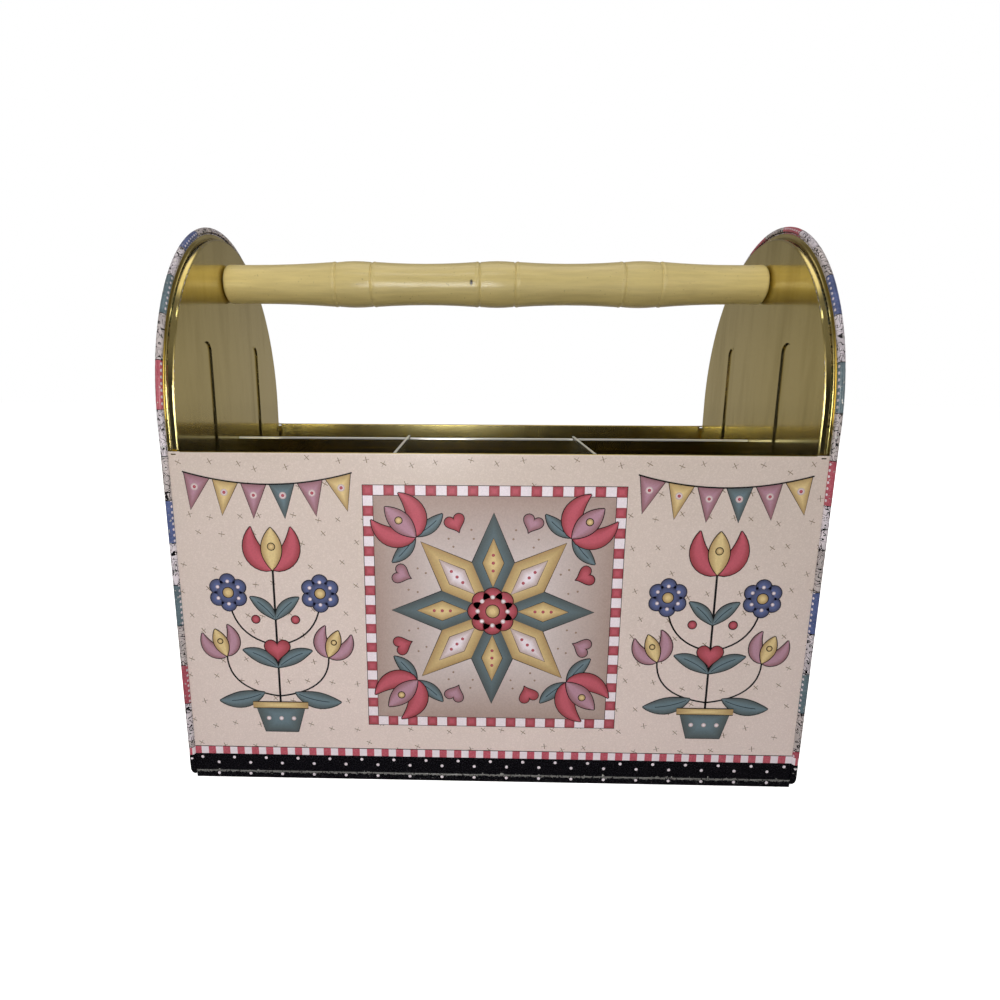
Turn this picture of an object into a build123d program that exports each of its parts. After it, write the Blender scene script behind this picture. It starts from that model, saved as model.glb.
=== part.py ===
from build123d import *
import os

# An open tin sewing caddy: printed tinplate walls between two dome-topped end panels,
# a turned wooden handle, a lengthwise partition and two loose cross dividers.
# Millimetres, +Z up, the front wall faces -Y, the origin is the middle of the floor contact.

# Overall sizes
overall_length = 267.0      # over the rolled edges of the end panels
body_depth = 138.0          # outside of the front wall to outside of the back wall
rim_height = 146.0          # top edge of the walls
sheet = 0.5                 # tinplate with its lacquer
spot = 0.02                 # film of lacquer between sheets that lie on each other

# End panels, as distances inwards from the outermost plane or from the outline
panel_proud = 1.5           # how far the outline stands in front of the walls
arch_spring = 12.0          # straight side above the rim, before the dome starts
arch_rise = 85.0            # height of the half-ellipse dome
panel_corner = 5.0          # radius of the two bottom corners
curl_diameter = 2.8         # rolled edge
curl_wrap = 292.0           # degrees that the roll turns
crease_bend = 0.45          # bend between the ring and the roll
ring_inset = 2.2            # inner face of the flat ring, from the outermost plane
ring_width = 1.9            # flat ring between the crease and the step
step_run = 0.6              # width of the steep step
field_inset = 5.5           # inner face of the flat field, from the outermost plane
field_corner = 5.0          # radius of the step's bottom corners
step_bend = 0.6             # radius of the step's bends, at the middle of the sheet

# Upright ribs on each end panel, pressed outwards, so that they are channels inside
rib_spacing = 60.0          # between the two ribs
rib_width = 9.0
rib_height = 0.8
rib_top = 44.5              # above the rim
rib_bottom = 80.0           # below the rim
rib_slope = 45.0            # degrees of the rib's sides, from upright to the panel

# Walls
hem_height = 4.8
hem_thickness = 1.6
hem_notch = 4.7             # plain stretch at each end of a wall's hem
clinch_width = 2.0          # small slot in that plain stretch
clinch_height = 0.5
clinch_drop = 1.1           # middle of the slot below the rim
clinch_inset = 2.1          # middle of the slot from the wall's end

# Base pan and its seam
floor_raise = 1.5           # underside of the floor above the ground
seam_height = 3.6
seam_gap = 0.05             # between the wall and the seam round it
seam_bend = 0.3             # radius of the folded seam, at the middle of the sheet
seam_seat = 0.25            # wall's lower edge above the inside of the seam

# Lengthwise partition
partition_drop = 1.0        # top edge below the rim
partition_hem_height = 5.0
partition_hem_thickness = 1.5
flange_width = 7.0
end_flange_start = 9.0      # bottom of the end flanges above the ground
end_flange_drop = 6.0       # top of the end flanges below the partition's top
flange_bend = 0.6           # radius of the flanges' bends, at the middle of the sheet
flange_relief = 3.0         # partition short of the end panels beside its end flanges
hem_end_gap = 0.3           # partition's hem short of the end panels
flange_end_gap = 8.0        # bottom flange short of the end panels

# Cross dividers
divider_thickness = 1.0
divider_spacing = 83.4      # between the two dividers at the partition
divider_toe_in = 1.2        # degrees: their front ends lean towards the middle
divider_drop = 0.4          # top edge below the rim
divider_tail = 5.0          # length past the middle of the partition
divider_gap = 0.35          # clearance in the halved joint and at the front hem
divider_lift = 0.3          # lower edge above the partition's flange, and slot above slot
halving_height = 73.0       # bottom of the partition's slots above the ground

# Turned handle
handle_rise = 72.4          # axis above the rim
handle_end_radius = 9.0
handle_end_round = 1.8
handle_neck_radius = 9.05
handle_neck_place = 101.0   # where the taper to the end starts, from the middle
handle_waist_radius = 9.4   # between the ring pairs
handle_ring_radius = 10.2   # at a ring groove
handle_swell_radius = 10.6  # between the two rings of a pair
ring_pair_pitch = 67.9      # from one pair of rings to the next
ring_pair_gap = 16.6        # between the two rings of a pair
ring_shift = 1.9            # turned pattern off the middle, to the right
bead_width = 1.6            # low bead outside each groove of a pair
bead_height = 0.2
groove_width = 1.0
groove_depth = 0.35
handle_end_gap = 0.3        # end grain to end panel

# Handle screws
shank_radius = 2.1
shank_clearance = 0.05      # radial, in the end panel's hole
pilot_clearance = 0.02      # radial, in the handle
pilot_spare = 1.0           # pilot hole deeper than the screw
shank_length = 24.0
tip_length = 5.0
tip_radius = 0.4
head_radius = 4.0
head_height = 2.4
head_gap = 0.3              # head to end panel
head_round = 1.4
driver_slot_width = 1.1
driver_slot_depth = 1.0

# Places that follow from the sizes above
half_length = overall_length / 2
half_depth = body_depth / 2
panel_half_depth = half_depth + panel_proud
arch_base = rim_height + arch_spring
curl_radius = curl_diameter / 2
ring_middle = ring_inset - sheet / 2
field_middle = field_inset - sheet / 2
field_face = half_length - field_inset
wall_end = half_length - curl_diameter
floor_top = floor_raise + sheet
flange_middle = floor_top + spot + sheet / 2
handle_height = rim_height + handle_rise
handle_half = field_face - handle_end_gap
partition_top = rim_height - partition_drop
partition_middle = (partition_hem_thickness - sheet) / 2
crease_inset = curl_diameter - sheet / 2 + crease_bend
step_start = crease_inset + ring_width
field_start = step_start + step_run


def bent_strip(edges):
    """Face of a bent sheet with rounded ends, whose middle line is the chain of edges."""
    return make_face(Wire(edges).offset_2d(sheet / 2))


def along_x(face, start, end):
    """Extrude a face drawn with X as depth and Y as height, from start to end along the length."""
    return extrude(Plane.YZ.offset(start) * face, end - start, dir=(1, 0, 0))


def mirrored(part):
    """The same part at the other end of the caddy."""
    return mirror(part, about=Plane.YZ)


def panel_outline(inset, corner, x):
    """Closed outline of an end panel, moved inwards by inset, in the plane at x."""
    half = panel_half_depth - inset
    edges = [
        Line((0, inset), (half - corner, inset)),
        CenterArc((half - corner, inset + corner), corner, -90, 90),
        Line((half, inset + corner), (half, arch_base)),
        EllipticalCenterArc((0, arch_base), half, arch_rise - inset, 0, arc_size=180),
        Line((-half, arch_base), (-half, inset + corner)),
        CenterArc((-half + corner, inset + corner), corner, 180, 90),
        Line((-half + corner, inset), (0, inset)),
    ]
    return Plane.YZ.offset(x) * Wire(edges)


def panel_plate(inset, corner, inner_face):
    """One sheet thick plate inside an outline, its inner face at x = inner_face."""
    return extrude(make_face(panel_outline(inset, corner, inner_face)), sheet, dir=(1, 0, 0))


def swept_section(section, inset, corner):
    """Sweep a section of the end panel round its outline.

    The section is drawn with X as the inset from the outline and Y as the depth from the
    outermost plane.
    """
    place = Plane(origin=(half_length, 0, 0), x_dir=(0, 0, 1), z_dir=(0, -1, 0))
    return sweep(place * section, path=panel_outline(inset, corner, half_length - curl_radius))


def panel_curl():
    """Rolled edge and the crease beside it."""
    roll_radius = curl_radius - sheet / 2
    crease_low = ring_middle - crease_bend
    section = bent_strip([
        Line((crease_inset + ring_width / 2, ring_middle), (crease_inset, ring_middle)),
        CenterArc((crease_inset, crease_low), crease_bend, 90, 90),
        Line((crease_inset - crease_bend, crease_low), (curl_radius + roll_radius, curl_radius)),
        CenterArc((curl_radius, curl_radius), roll_radius, 0, -curl_wrap),
    ])
    return swept_section(section, curl_radius, panel_corner - curl_radius)


def panel_step():
    """Slope that carries the field inwards from the ring."""
    line = FilletPolyline(
        (step_start - ring_width / 3, ring_middle),
        (step_start, ring_middle),
        (field_start, field_middle),
        (field_start + ring_width / 3, field_middle),
        radius=step_bend,
    )
    return swept_section(bent_strip(line.edges()), step_start + step_run / 2, field_corner)


def panel_ring():
    """Flat ring between the crease and the step."""
    outer = crease_inset + ring_width / 4
    half_run = step_run / 2
    ring = panel_plate(outer, panel_corner - outer, half_length - ring_inset)
    return ring - panel_plate(step_start, field_corner + half_run, half_length - ring_inset)


def rib(width, face):
    """Upright rib with round ends and sloping sides, standing outwards from x = face."""
    top = rim_height + rib_top + (width - rib_width) / 2
    bottom = rim_height - rib_bottom - (width - rib_width) / 2
    shape = SlotOverall(top - bottom, width, rotation=90)
    raised = Part()
    for side in (-1, 1):
        place = Plane(
            origin=(face, side * rib_spacing / 2, (top + bottom) / 2),
            x_dir=(0, 1, 0),
            z_dir=(1, 0, 0),
        )
        raised += extrude(place * shape, rib_height, taper=rib_slope)
    return raised


def end_panel():
    """Right end panel: rolled edge, ring, step, field, two ribs and the handle screw's hole."""
    panel = panel_plate(field_start, field_corner - step_run / 2, field_face)
    panel = panel_ring() + panel_step() + panel + panel_curl()
    panel = panel + rib(rib_width + sheet, field_face + sheet) - rib(rib_width, field_face)
    hole = Cylinder(shank_radius + shank_clearance, field_inset, rotation=(0, 90, 0))
    return panel - Pos(field_face, 0, handle_height) * hole


def wall():
    """Front wall: hemmed at the rim, the hem notched near the corners, its foot in the seam."""
    low = sheet + seam_seat
    outer = -half_depth + sheet / 2
    turn = (hem_thickness - sheet) / 2
    turn_height = rim_height - hem_thickness / 2
    hemmed = bent_strip([
        Line((outer, low), (outer, turn_height)),
        CenterArc((outer + turn, turn_height), turn, 180, -180),
        Line((outer + 2 * turn, turn_height), (outer + 2 * turn, rim_height - hem_height)),
    ])
    plain = bent_strip([Line((outer, low), (outer, rim_height - sheet / 2))])
    hem_end = wall_end - hem_notch
    result = along_x(hemmed, -hem_end, hem_end)
    result += along_x(plain, -wall_end, -hem_end) + along_x(plain, hem_end, wall_end)
    for side in (-1, 1):
        place = Pos(side * (wall_end - clinch_inset), -half_depth, rim_height - clinch_drop)
        result -= place * Box(clinch_width, 4 * sheet, clinch_height)
    return result


def base_pan():
    """Pressed bottom, raised off the ground, folded round the lower edges of both walls."""
    outside = half_depth + seam_gap + sheet / 2
    inside = half_depth - sheet - seam_gap - sheet / 2
    floor_middle = floor_raise + sheet / 2
    half = [
        (outside, seam_height - sheet / 2),
        (outside, sheet / 2),
        (inside, sheet / 2),
        (inside, floor_middle),
    ]
    other_half = [(-y, z) for y, z in reversed(half)]
    line = FilletPolyline(*half, *other_half, radius=seam_bend)
    return along_x(bent_strip(line.edges()), -wall_end, wall_end)


def centre_partition():
    """Lengthwise partition with a hemmed top, end and bottom flanges and two halved slots."""
    turn = (partition_hem_thickness - sheet) / 2
    turn_height = partition_top - partition_hem_thickness / 2
    hem_low = partition_top - partition_hem_height
    flange_top = partition_top - end_flange_drop

    def hemmed_from(low):
        return bent_strip([
            Line((partition_middle, low), (partition_middle, turn_height)),
            CenterArc((partition_middle - turn, turn_height), turn, 0, 180),
            Line((-partition_middle, turn_height), (-partition_middle, hem_low)),
        ])

    sheet_end = field_face - flange_relief
    hem_end = field_face - hem_end_gap
    result = along_x(hemmed_from(flange_middle + 2 * flange_bend), -sheet_end, sheet_end)
    result += along_x(hemmed_from(flange_top), -hem_end, hem_end)

    foot = FilletPolyline(
        (flange_width, flange_middle),
        (partition_middle, flange_middle),
        (partition_middle, flange_middle + 3 * flange_bend),
        radius=flange_bend,
    )
    foot_end = field_face - flange_end_gap
    result += along_x(bent_strip(foot.edges()), -foot_end, foot_end)

    flange = FilletPolyline(
        (sheet_end - sheet, partition_middle),
        (field_face - spot - sheet / 2, partition_middle),
        (field_face - spot - sheet / 2, flange_width),
        radius=flange_bend,
    )
    flange_height = flange_top - sheet - end_flange_start
    right = Pos(0, 0, end_flange_start) * extrude(bent_strip(flange.edges()), flange_height)
    result += right + mirrored(right)

    slot_height = rim_height - halving_height
    slot = Box(divider_thickness + 2 * divider_gap, flange_width, slot_height)
    for side in (-1, 1):
        result -= Pos(side * divider_spacing / 2, 0, halving_height + slot_height / 2) * slot
    return result


def cross_divider():
    """Right cross divider: a loose sheet halved over the partition."""
    front = -half_depth + hem_thickness + divider_gap
    low = flange_middle + sheet / 2 + divider_lift
    high = rim_height - divider_drop
    slot_top = halving_height + divider_lift
    length = divider_tail - front
    plate = Pos(0, (front + divider_tail) / 2, (low + high) / 2) * Box(divider_thickness, length, high - low)
    slot = Box(2 * divider_thickness, sheet + 2 * divider_gap, slot_top - low)
    plate -= Pos(0, partition_middle, (low + slot_top) / 2) * slot
    return Pos(divider_spacing / 2, 0, 0) * Rot(0, 0, -divider_toe_in) * plate


def handle_profile():
    """Half section of the turned handle, above its axis."""
    groove = groove_width / 2
    beaded = groove + bead_width
    edges = []

    def groove_at(x):
        edges.append(Line((x - groove, handle_ring_radius), (x, handle_ring_radius - groove_depth)))
        edges.append(Line((x, handle_ring_radius - groove_depth), (x + groove, handle_ring_radius)))

    def bead_from(x):
        edges.append(ThreePointArc(
            (x, handle_ring_radius),
            (x + bead_width / 2, handle_ring_radius + bead_height),
            (x + bead_width, handle_ring_radius),
        ))

    for pair in (-1, 0, 1):
        middle = ring_shift + pair * ring_pair_pitch
        first = middle - ring_pair_gap / 2
        last = middle + ring_pair_gap / 2
        bead_from(first - beaded)
        groove_at(first)
        edges.append(ThreePointArc(
            (first + groove, handle_ring_radius),
            (middle, handle_swell_radius),
            (last - groove, handle_ring_radius),
        ))
        groove_at(last)
        bead_from(last + groove)
        if pair < 1:
            following = first + ring_pair_pitch
            edges.append(Spline(
                (last + beaded, handle_ring_radius),
                ((last + following) / 2, handle_waist_radius),
                (following - beaded, handle_ring_radius),
            ))

    flat_end = handle_half - handle_end_round
    end_core = handle_end_radius - handle_end_round
    for side in (-1, 1):
        outermost = ring_shift + side * (ring_pair_pitch + ring_pair_gap / 2 + beaded)
        edges.append(Spline(
            (outermost, handle_ring_radius),
            (side * handle_neck_place, handle_neck_radius),
            (side * flat_end, handle_end_radius),
        ))
        edges.append(RadiusArc(
            (side * flat_end, handle_end_radius),
            (side * handle_half, end_core),
            side * handle_end_round,
        ))
        edges.append(Line((side * handle_half, end_core), (side * handle_half, 0)))
    edges.append(Line((-handle_half, 0), (handle_half, 0)))
    return make_face(Wire(edges))


def handle():
    """Turned wooden handle with three pairs of ring grooves and a pilot hole in each end."""
    turned = revolve(Plane.XZ * handle_profile(), Axis.X)
    depth = shank_length - head_gap - sheet - handle_end_gap + pilot_spare
    for side in (-1, 1):
        hole = Cylinder(shank_radius + pilot_clearance, depth, rotation=(0, 90, 0))
        turned -= Pos(side * (handle_half - depth / 2), 0, 0) * hole
    return Pos(0, 0, handle_height) * turned


def handle_screw():
    """Right wood screw: slotted pan head outside the panel, shank through it into the handle."""
    under_head = field_face + sheet + head_gap
    straight = shank_length - tip_length
    shank = Cylinder(shank_radius, straight, align=(Align.CENTER, Align.CENTER, Align.MAX))
    tip = Cone(tip_radius, shank_radius, tip_length, align=(Align.CENTER, Align.CENTER, Align.MAX))
    head = Cylinder(head_radius, head_height, align=(Align.CENTER, Align.CENTER, Align.MIN))
    head = fillet(head.edges().sort_by(Axis.Z)[-1], head_round)
    slot = Pos(0, 0, head_height) * Box(2 * head_radius, driver_slot_width, 2 * driver_slot_depth)
    screw = shank + Pos(0, 0, -straight) * tip + (head - slot)
    return Pos(under_head, 0, handle_height) * Rot(0, 90, 0) * screw


right_panel = end_panel()
front = wall()
right_divider = cross_divider()
right_screw = handle_screw()
nodes = {
    "left_end_panel": mirrored(right_panel),
    "right_end_panel": right_panel,
    "front_wall": front,
    "back_wall": Rot(0, 0, 180) * front,
    "base_pan": base_pan(),
    "centre_partition": centre_partition(),
    "left_cross_divider": mirrored(right_divider),
    "right_cross_divider": right_divider,
    "handle": handle(),
    "left_handle_screw": mirrored(right_screw),
    "right_handle_screw": right_screw,
}

os.makedirs("parts", exist_ok=True)
for name, solid in nodes.items():
    export_step(solid, f"parts/{name}.step")
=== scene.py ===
"""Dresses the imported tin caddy: printed and lacquered tinplate, turned handle, dividers and stage."""
from functools import partial
from math import cos, pi, radians, sin

import bmesh
import bpy
from bpy.props import FloatProperty, FloatVectorProperty, PointerProperty
from mathutils import Euler, Matrix, Vector


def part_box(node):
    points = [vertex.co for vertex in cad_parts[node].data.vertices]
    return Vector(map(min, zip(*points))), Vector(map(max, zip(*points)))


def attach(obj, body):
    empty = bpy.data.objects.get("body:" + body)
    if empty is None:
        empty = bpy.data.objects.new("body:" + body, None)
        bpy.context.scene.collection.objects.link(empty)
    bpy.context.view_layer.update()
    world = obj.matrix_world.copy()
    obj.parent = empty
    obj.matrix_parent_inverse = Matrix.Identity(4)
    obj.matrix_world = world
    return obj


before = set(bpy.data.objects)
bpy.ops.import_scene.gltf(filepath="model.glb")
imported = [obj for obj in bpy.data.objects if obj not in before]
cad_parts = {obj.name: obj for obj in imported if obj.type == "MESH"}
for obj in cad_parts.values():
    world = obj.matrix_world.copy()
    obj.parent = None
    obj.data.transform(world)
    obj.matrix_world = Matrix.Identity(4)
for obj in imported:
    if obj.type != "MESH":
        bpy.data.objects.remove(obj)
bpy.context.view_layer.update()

bl_info = {
    "name": "Tin Caddy Dressing",
    "version": (1, 0, 0),
    "blender": (4, 5, 0),
    "location": "3D View > Sidebar > Tin Caddy",
    "description": "Printed tinplate, gold lacquer, a turned handle and a plain stage for a tin caddy",
    "category": "Object",
}

MM = 0.001


def in_mm(node):
    """Lowest and highest corners of a solid at rest, in millimetres."""
    return [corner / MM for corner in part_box(node)]


PANEL_HIGH = in_mm("right_end_panel")[1]
WALL_LOW, WALL_HIGH = in_mm("front_wall")
BASE_LOW = in_mm("base_pan")[0]
PARTITION_TOP = in_mm("centre_partition")[1].z
DIVIDER_TOP = in_mm("left_cross_divider")[1].z
WHITE = (1.0, 1.0, 1.0, 1.0)
WARM = (1.0, 0.91, 0.83, 1.0)   # tint of the room and the floor as shiny tin mirrors them


def linear(hex_colour):
    """Turn an sRGB hex value into the linear colour that a shader takes."""
    channels = [int(hex_colour[i:i + 2], 16) / 255 for i in (1, 3, 5)]
    return [c / 12.92 if c <= 0.04045 else ((c + 0.055) / 1.055) ** 2.4 for c in channels] + [1.0]


def size(name, default, description):
    """Size in millimetres that a user may change."""
    return FloatProperty(name=name, default=default, min=0.0, description=description + ", in millimetres")


def colour(name, hex_colour, description):
    """Colour that a user may change."""
    return FloatVectorProperty(name=name, default=linear(hex_colour), min=0.0, max=1.0, size=4,
                               subtype="COLOR", description=description)


class CaddyPrint(bpy.types.PropertyGroup):
    """Sizes and inks of the printed outside."""
    band_top: size("Dark band top", 11.3, "Top of the dotted dark band above the ground")
    check_size: size("Check", 3.2, "Width of a square of the check stripe")
    check_height: size("Check height", 3.6, "Height of the check stripe")
    rule_width: size("Rule", 0.35, "Thin line above the check stripe")
    dot_spacing: size("Dot spacing", 14.2, "Distance from one pin dot to the next along a row")
    dot_row: size("Dot rows", 2.5, "Distance from one row of pin dots to the next")
    dot_size: size("Dot", 1.35, "Width of a pin dot")
    stitch_spacing: size("Stitch spacing", 10.5, "Distance from one crossed stitch to the next")
    stitch_length: size("Stitch", 2.6, "Length of each stroke of a stitch")
    stitch_width: size("Stitch stroke", 0.32, "Width of each stroke of a stitch")
    patch_length: size("Patch", 18.0, "Length of one patch along the end panels' edge")
    border_width: size("Patch border", 9.0, "Width of the pieced border round the end panels")
    block_size: size("Star block", 106.0, "Width and height of the block with the star")
    block_height: size("Star block height", 80.0, "Middle of the star block above the ground")
    ground: colour("Ground", "#D5C5BA", "Cream ground")
    blush: colour("Blush", "#E6D4CD", "Paler pink tint that the ground runs to lower down")
    stitch: colour("Stitch ink", "#8C7A66", "Brown ink of the small crossed stitches")
    tan: colour("Tan ink", "#A08873", "Light brown")
    pale: colour("Pale ink", "#D9CDCB", "Pale pinkish grey ground of the star block")
    black: colour("Black ink", "#0E0D13", "Near-black ink")
    white: colour("White ink", "#EEE3E9", "Slightly pink white")
    red: colour("Red ink", "#C25C6A", "Dusty red")
    teal: colour("Teal ink", "#6C8088", "Grey teal")
    blue: colour("Blue ink", "#5F6C9C", "Soft blue")
    mauve: colour("Mauve ink", "#B78C9C", "Mauve pink")
    yellow: colour("Yellow ink", "#DEC68E", "Straw yellow")


class CaddyFinish(bpy.types.PropertyGroup):
    """Colours of the lacquer, the wood and the small parts."""
    lacquer: colour("Gold lacquer", "#C8BA78", "Olive gold lacquer inside the tin")
    lacquer_stain: colour("Lacquer stain", "#B2A35E", "Darker stains in the lacquer")
    # Bare tin is also the colour of the painted highlights along the partition's and the seam's top edges
    bare_tin_and_highlight: colour("Bare tin", "#E4E3DD", "Tinplate where print has worn off, and underneath")
    wood: colour("Wood", "#E1CC88", "Pale yellow lacquered wood")
    wood_dark: colour("Wood shade", "#C2AE74", "Duller yellow where the lacquer is thin")
    wood_fleck: colour("Wood fleck", "#6E5636", "Small brown flecks")
    knot: colour("Knot", "#2A1C12", "Small dark knot in the handle")
    sheet_edge: colour("Divider edge", "#C9C6B6", "Pale sawn edge of the clear dividers")
    steel: colour("Screw steel", "#B4B2AC", "Zinc-plated steel")
    floor: colour("Floor", "#F6F5F3", "Pale floor")


def add(tree, kind, inputs=(), **settings):
    """Add a shader node with its settings, set or link its inputs, and return its first output.

    Inputs are a list in the order of the sockets in use, or a dictionary by name.
    """
    node = tree.nodes.new("ShaderNode" + kind)
    for name, value in settings.items():
        setattr(node, name, value)
    used = [s for s in node.inputs if s.enabled]
    pairs = inputs.items() if isinstance(inputs, dict) else enumerate(inputs)
    for name, value in pairs:
        socket = used[name] if isinstance(name, int) else next(s for s in used if s.name == name)
        if isinstance(value, bpy.types.NodeSocket):
            tree.links.new(value, socket)
        elif value is not None:
            socket.default_value = value
    return next((s for s in node.outputs if s.enabled), node)


def new_material(name):
    """Start a material with an empty node tree, and a helper that adds nodes to it."""
    material = bpy.data.materials.new(name)
    material.use_nodes = True
    material.node_tree.nodes.clear()
    return material, partial(add, material.node_tree)


def millimetres(node):
    """Place on the caddy in millimetres, then its three parts."""
    place = node("VectorMath", {"Vector": node("TexCoord").node.outputs["Object"], "Scale": 1 / MM},
                 operation="SCALE")
    return [place] + list(node("SeparateXYZ", [place]).node.outputs)


def put_on(material, *names):
    """Give a material to carried-over solids."""
    for name in names:
        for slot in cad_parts[name].material_slots:
            slot.material = material


def within(node, value, low, high):
    """Mask that is 1 where value lies between two limits."""
    middle, half = (low + high) / 2, (high - low) / 2
    return node("Math", [value, middle, half], operation="COMPARE")


def shaded(node, tint, shade):
    """Colour multiplied by a shade."""
    return node("Mix", {"Factor": 1.0, "A": tint, "B": shade}, data_type="RGBA", blend_type="MULTIPLY")


def step_number(node, value, width):
    """Number of the step of a width that a value lies in."""
    return node("Math", [node("Math", [value, width], operation="DIVIDE")], operation="FLOOR")


def reach_of(node, vector):
    """Length of a vector."""
    return node("VectorMath", [vector], operation="LENGTH").node.outputs["Value"]


def facing(node, axis):
    """How far a face looks along an axis, from -1 to 1."""
    return node("SeparateXYZ", [node("NewGeometry").node.outputs["True Normal"]]).node.outputs[axis]


def staggered_cells(node, across, up, width, height):
    """Staggered cells of a face: the cell's number, the place in it from -0.5 to 0.5, and the row."""
    row = step_number(node, up, height)
    shift = node("Math", [row, 2.0], operation="FLOORED_MODULO")
    shifted = node("Math", [shift, width / 2, across], operation="MULTIPLY_ADD")
    grid = node("VectorMath", [node("CombineXYZ", [shifted, up]), (width, height, 1.0)], operation="DIVIDE")
    cell = node("VectorMath", [grid], operation="FLOOR")
    inside = node("VectorMath", [node("VectorMath", [grid], operation="FRACTION"), (0.5, 0.5, 0.0)],
                  operation="SUBTRACT")
    return cell, inside, row


STITCH_DRIFT = 0.5      # part of its cell over which a stitch's middle may lie
STITCH_TURN = 1.3       # full range of the stitches' turns, in radians
FAINT_STROKE = 0.6      # second stroke of a stitch beside the first


def crossed_stitches(node, across, up, ink):
    """Mask of small crossed stitches, each a little off its cell's middle and turned."""
    spacing = ink.stitch_spacing
    cell, inside, _ = staggered_cells(node, across, up, spacing, spacing)
    chance = node("VectorMath", [node("TexWhiteNoise", [cell]).node.outputs["Color"], (0.5, 0.5, 0.5)],
                  operation="SUBTRACT")
    moved = node("VectorMath", [chance, (-STITCH_DRIFT, -STITCH_DRIFT, 0.0), inside],
                 operation="MULTIPLY_ADD")
    turn = node("SeparateXYZ", [chance]).node.outputs["Z"]
    angle = node("Math", [turn, STITCH_TURN, pi / 4], operation="MULTIPLY_ADD")
    turned = node("VectorRotate", {"Vector": moved, "Angle": angle}, rotation_type="Z_AXIS")
    reach = node("VectorMath", [node("VectorMath", [turned], operation="ABSOLUTE"),
                                (2 * spacing, 2 * spacing, 0.0)], operation="MULTIPLY")
    a, b, _ = node("SeparateXYZ", [reach]).node.outputs
    strokes = []
    for along, beside in ((a, b), (b, a)):
        narrow = node("Math", [beside, ink.stitch_width], operation="LESS_THAN")
        short = node("Math", [along, ink.stitch_length], operation="LESS_THAN")
        strokes.append(node("Math", [narrow, short], operation="MULTIPLY"))
    fainter = node("Math", [strokes[1], FAINT_STROKE], operation="MULTIPLY")
    return node("Math", [strokes[0], fainter], operation="MAXIMUM")


DOT_ROWS = 4            # rows of pin dots in the dark band
DOT_DROP = 0.35         # uppermost row below the band's top
SEAM_ROW = 1.0          # row without dots, counted from the lowest as 0: the seam's top edge lies in it


def dotted_band(node, across, up, ink):
    """Mask of the white pin dots, in staggered rows that skip the seam's top edge."""
    low = ink.band_top - DOT_DROP - DOT_ROWS * ink.dot_row
    height = node("Math", [up, low], operation="SUBTRACT")
    _, inside, row = staggered_cells(node, across, height, ink.dot_spacing, ink.dot_row)
    real = node("VectorMath", [inside, (ink.dot_spacing, ink.dot_row, 0.0)], operation="MULTIPLY")
    dots = node("Math", [reach_of(node, real), ink.dot_size / 2], operation="LESS_THAN")
    skipped = node("Math", [row, SEAM_ROW, 0.1], operation="COMPARE")
    return node("Math", [dots, skipped], operation="SUBTRACT", use_clamp=True)


BLUSH_HEIGHTS = (10.0, 140.0)   # of the ground's strongest and weakest blush
BLUSH_LEVELS = (0.7, -0.25)     # the blush at these heights, to which clouds add
BLUSH_CLOUDS = 0.6


def printed_ground(node, place, across, up, ink):
    """Colours of the printed tin: cream ground with stitches over a check stripe and a dotted band."""
    cloud = node("TexNoise", {"Vector": place, "Scale": 0.02, "Detail": 2.0})
    fade = node("MapRange", [up, *BLUSH_HEIGHTS, *BLUSH_LEVELS])
    blush = node("Math", [cloud, BLUSH_CLOUDS, fade], operation="MULTIPLY_ADD", use_clamp=True)
    tint = node("Mix", [blush, ink.ground, ink.blush], data_type="RGBA")
    grain = node("TexNoise", {"Vector": place, "Scale": 2.4, "Detail": 1.0})
    grain = node("MapRange", {"Value": grain, "To Min": 0.93, "To Max": 1.07})
    tint = shaded(node, tint, grain)
    tint = node("Mix", [crossed_stitches(node, across, up, ink), tint, ink.stitch], data_type="RGBA")
    low, high = ink.band_top, ink.band_top + ink.check_height
    column = step_number(node, across, ink.check_size)
    odd = node("Math", [column, 2.0], operation="FLOORED_MODULO")
    checks = node("Mix", [odd, ink.white, ink.red], data_type="RGBA")
    tint = node("Mix", [within(node, up, low, high), tint, checks], data_type="RGBA")
    for edge in (low, high + ink.rule_width / 2):
        rule = within(node, up, edge - ink.rule_width / 2, edge + ink.rule_width / 2)
        tint = node("Mix", [rule, tint, ink.black], data_type="RGBA")
    dark = node("Mix", [dotted_band(node, across, up, ink), ink.black, ink.white], data_type="RGBA")
    below = node("Math", [up, low], operation="LESS_THAN")
    return node("Mix", [below, tint, dark], data_type="RGBA")


ARCH_SPRING = 12.0      # straight side of the end panels above the walls, before the dome starts
ARCH_BASE = WALL_HIGH.z + ARCH_SPRING
CURL_INSET = 2.9        # printed rolled edge, measured inwards from the outline
STEP_INSET = 7.5        # inner end of the stepped rim
BEND_RADIUS = 0.7       # softness of the rim's bends as light shows them
SIDE_LIMIT = 0.08       # how far a face turns outwards before it counts as outside


def outline_inset(node, y, z):
    """Distance inwards from the end panels' outline, and the length along it from the bottom."""
    rise, half = PANEL_HIGH.z - ARCH_BASE, PANEL_HIGH.y
    above = node("Math", [node("Math", [z, ARCH_BASE], operation="SUBTRACT"), 0.0], operation="MAXIMUM")
    side = node("Math", [y], operation="ABSOLUTE")
    flat = node("CombineXYZ", [side, above])
    scaled = node("VectorMath", [flat, (half, rise, 1.0)], operation="DIVIDE")
    slope = node("VectorMath", [flat, (half ** 2, rise ** 2, 1.0)], operation="DIVIDE")
    reach, steep = reach_of(node, scaled), reach_of(node, slope)
    short = node("Math", [node("Math", [1.0, reach], operation="SUBTRACT"), reach], operation="MULTIPLY")
    inset = node("Math", [node("Math", [short, steep], operation="DIVIDE"), z], operation="MINIMUM")
    across, up, _ = node("SeparateXYZ", [scaled]).node.outputs
    angle = node("Math", [up, across], operation="ARCTAN2")
    straight = node("Math", [z, ARCH_BASE], operation="MINIMUM")
    return inset, node("Math", [angle, (rise + half) / 2, straight], operation="MULTIPLY_ADD")


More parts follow.
